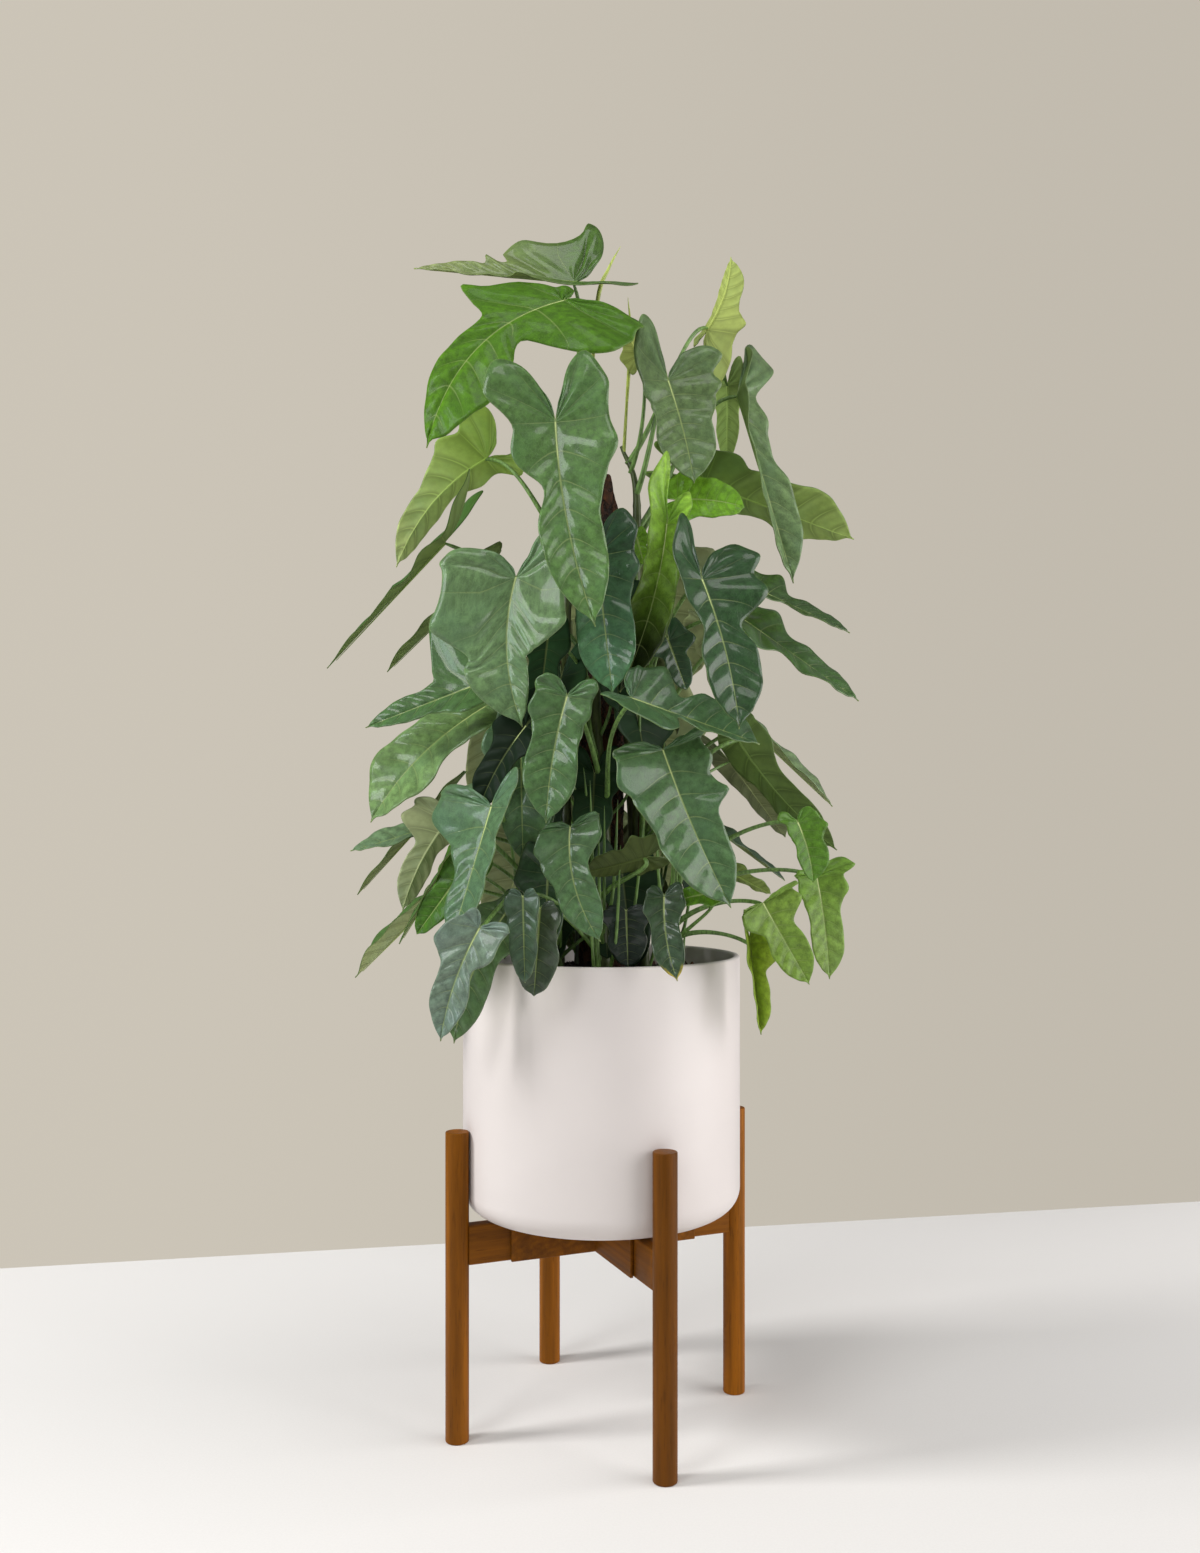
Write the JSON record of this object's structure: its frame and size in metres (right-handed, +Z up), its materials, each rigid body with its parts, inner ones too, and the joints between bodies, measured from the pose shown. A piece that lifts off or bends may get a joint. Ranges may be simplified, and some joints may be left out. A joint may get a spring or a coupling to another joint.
{
  "type": "potted philodendron panduriforme",
  "caption": "Climbing philodendron with fiddle-shaped leaves on a bark pole, in a white cylindrical planter that rests on a wooden plant stand.",
  "frame": {"origin": "middle of the bounding box's footprint, at the height of the feet's flat ends", "axes": "+Z up, along the pole; -Y is the side that the picture shows; +X is right in the picture"},
  "size_m": [0.5926, 0.4512, 1.3246],
  "materials": {
    "ceramic": "satin white glaze, smooth, slightly warm",
    "wood": "brown stained hardwood under a thin satin varnish",
    "soil": "moist dark potting soil with bark crumbs, matte",
    "bark": "rough reddish-brown bark chips and fibre, matte",
    "stem": "green stems and petioles, smooth, faintly glossy",
    "leaf_mature": "blue-green leathery leaf, glossy above, pale veins",
    "leaf_dark": "dark green leathery leaf in the shade, glossy above",
    "leaf_fresh": "young bright green leaf, glossy above",
    "leaf_pale": "olive yellow-green leaf underside, matte",
    "leaf_grey": "grey-green leathery leaf, satin",
    "leaf_edged": "dark green leaf with a yellow edge at its tip"
  },
  "bodies": {
    "root": {"planter": "ceramic", "soil": "soil", "climbing_pole": "bark", "stand_hub": "wood", "leg_front": "wood", "arm_front": "wood", "leg_right": "wood", "arm_right": "wood", "leg_back": "wood", "arm_back": "wood", "leg_left": "wood", "arm_left": "wood", "stem_left": "stem", "stem_front": "stem", "stem_right": "stem", "stem_back_left": "stem", "stem_back_right": "stem", "shoot_left": "stem", "shoot_right": "stem", "shoot_front": "stem", "shoot_back": "stem", "leaf_crown": "leaf_mature", "leaf_fresh_top": "leaf_fresh", "leaf_front_top": "leaf_mature", "leaf_left_top": "leaf_pale", "leaf_left_fold": "leaf_mature", "leaf_left_broad": "leaf_mature", "leaf_left_mid": "leaf_mature", "leaf_left_low": "leaf_mature", "leaf_left_dark": "leaf_dark", "leaf_front_mid": "leaf_mature", "leaf_low_left": "leaf_mature", "leaf_low_mid": "leaf_dark", "leaf_low_front": "leaf_mature", "leaf_far_left": "leaf_mature", "leaf_low_left_pale": "leaf_pale", "leaf_trailing_left": "leaf_pale", "leaf_rim_left": "leaf_mature", "leaf_rim_left_back": "leaf_mature", "leaf_rim_right": "leaf_edged", "leaf_centre_pale": "leaf_pale", "leaf_top_right": "leaf_grey", "leaf_top_pale": "leaf_pale", "leaf_right_hanging": "leaf_grey", "leaf_right_far": "leaf_pale", "leaf_centre_dark": "leaf_dark", "leaf_centre_fold": "leaf_fresh", "leaf_right_front": "leaf_dark", "leaf_right_thin": "leaf_mature", "leaf_right_mid": "leaf_mature", "leaf_front_right": "leaf_mature", "leaf_front_low": "leaf_mature", "leaf_right_low": "leaf_mature", "leaf_right_low_pale": "leaf_pale", "leaf_fresh_a": "leaf_fresh", "leaf_fresh_b": "leaf_fresh", "leaf_fresh_c": "leaf_fresh", "leaf_fresh_fold": "leaf_fresh"}
  },
  "joints": []
}
